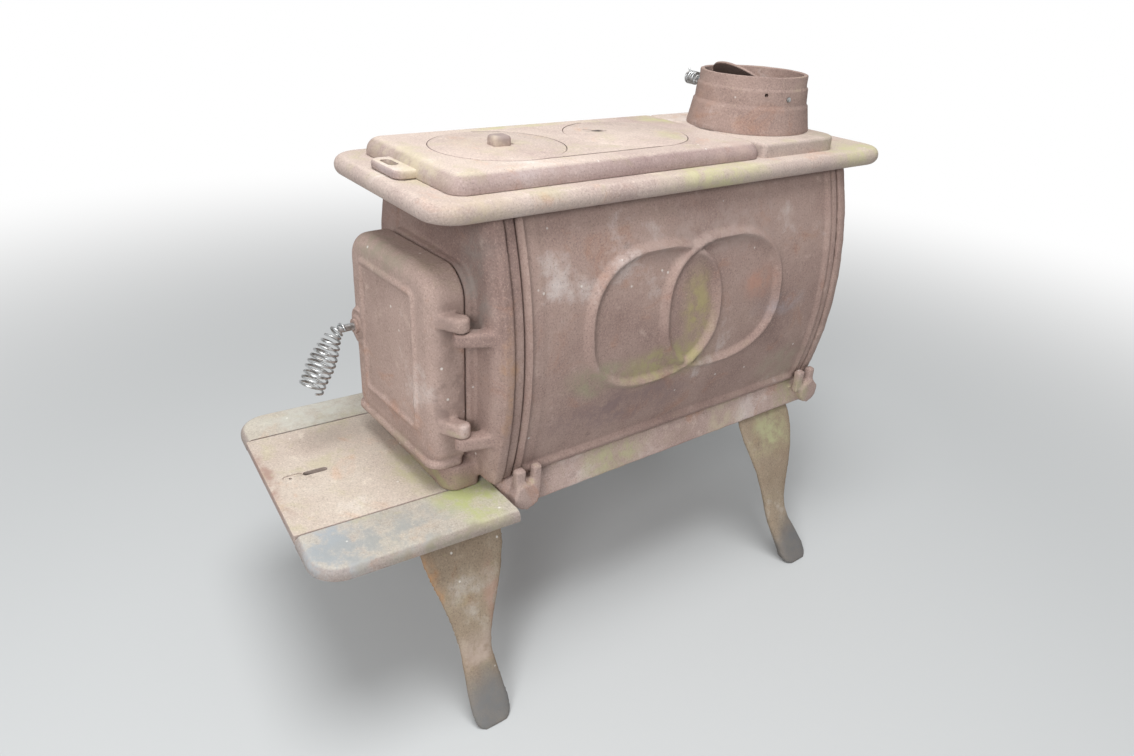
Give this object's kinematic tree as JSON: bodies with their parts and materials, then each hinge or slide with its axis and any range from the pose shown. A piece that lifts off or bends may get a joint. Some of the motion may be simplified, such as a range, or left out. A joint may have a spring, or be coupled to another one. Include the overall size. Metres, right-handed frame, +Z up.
{
  "type": "rusty old stove",
  "caption": "Weathered cast-iron box stove with bowed sides, hinged feed door, draft slide, swing top with lids, flue collar with damper, and splayed cabriole legs.",
  "frame": {"origin": "centre of the model's box on the floor between the four feet", "axes": "+Z up, +Y from the feed door to the flue collar, +X to the stove's right side, the one with the door hinge"},
  "size_m": [0.445, 0.8493, 0.7011],
  "materials": {
    "top_rust": "pale pinkish rust with spots of yellow-green lichen, matt",
    "collar_rust": "brown rust, matt",
    "body_rust": "mottled brown, mauve and orange rust, matt",
    "hearth_rust": "tan rust with blue-grey and green patches, matt",
    "leg_rust": "tan rust with moss, matt",
    "plated_wire": "dulled zinc-plated wire",
    "bolt_rust": "dark rust, matt"
  },
  "bodies": {
    "stove": {"top_plate": "top_rust", "flue_collar": "collar_rust", "front_casting": "body_rust", "back_casting": "body_rust", "right_side": "body_rust", "left_side": "body_rust", "right_front_strip": "body_rust", "left_front_strip": "body_rust", "right_back_strip": "body_rust", "left_back_strip": "body_rust", "bottom_plate": "body_rust", "hearth": "hearth_rust", "right_front_leg": "leg_rust", "left_front_leg": "leg_rust", "right_rear_leg": "leg_rust", "left_rear_leg": "leg_rust", "right_front_leg_bolt": "bolt_rust", "left_front_leg_bolt": "bolt_rust", "right_rear_leg_bolt": "bolt_rust", "left_rear_leg_bolt": "bolt_rust"},
    "swing": {"swing_top": "top_rust", "front_lid": "top_rust", "rear_lid": "top_rust", "key_plate": "top_rust"},
    "damper": {"damper_plate": "collar_rust", "damper_shaft": "plated_wire"},
    "door": {"feed_door": "body_rust", "latch_washer": "body_rust"},
    "latch": {"latch_rod": "plated_wire", "latch_grip": "plated_wire"},
    "slide": {"draft_slide": "hearth_rust"}
  },
  "joints": [
    {"name": "door_hinge", "type": "hinge", "parent": "stove", "child": "door", "pos_m": [0.117, -0.23833, 0.4], "axis": [0, 0, 1], "range_deg": [-2.4, 112]},
    {"name": "latch_turn", "type": "hinge", "parent": "door", "child": "latch", "pos_m": [-0.0707, -0.27322, 0.409], "axis": [-0.0419, 0.9991, 0], "range_deg": [0, 90]},
    {"name": "swing_top_pivot", "type": "hinge", "parent": "stove", "child": "swing", "pos_m": [-0.0903, 0.17347, 0.602], "axis": [0, 0, 1], "range_deg": [-90, 0]},
    {"name": "draft_slide_run", "type": "slide", "parent": "stove", "child": "slide", "axis": [-0.0628, -0.998, 0], "range_m": [0, 0.05]},
    {"name": "damper_turn", "type": "hinge", "parent": "stove", "child": "damper", "pos_m": [0, 0.27667, 0.663], "axis": [0.9903, -0.1392, 0], "range_deg": [-53.5, 36.5]}
  ]
}
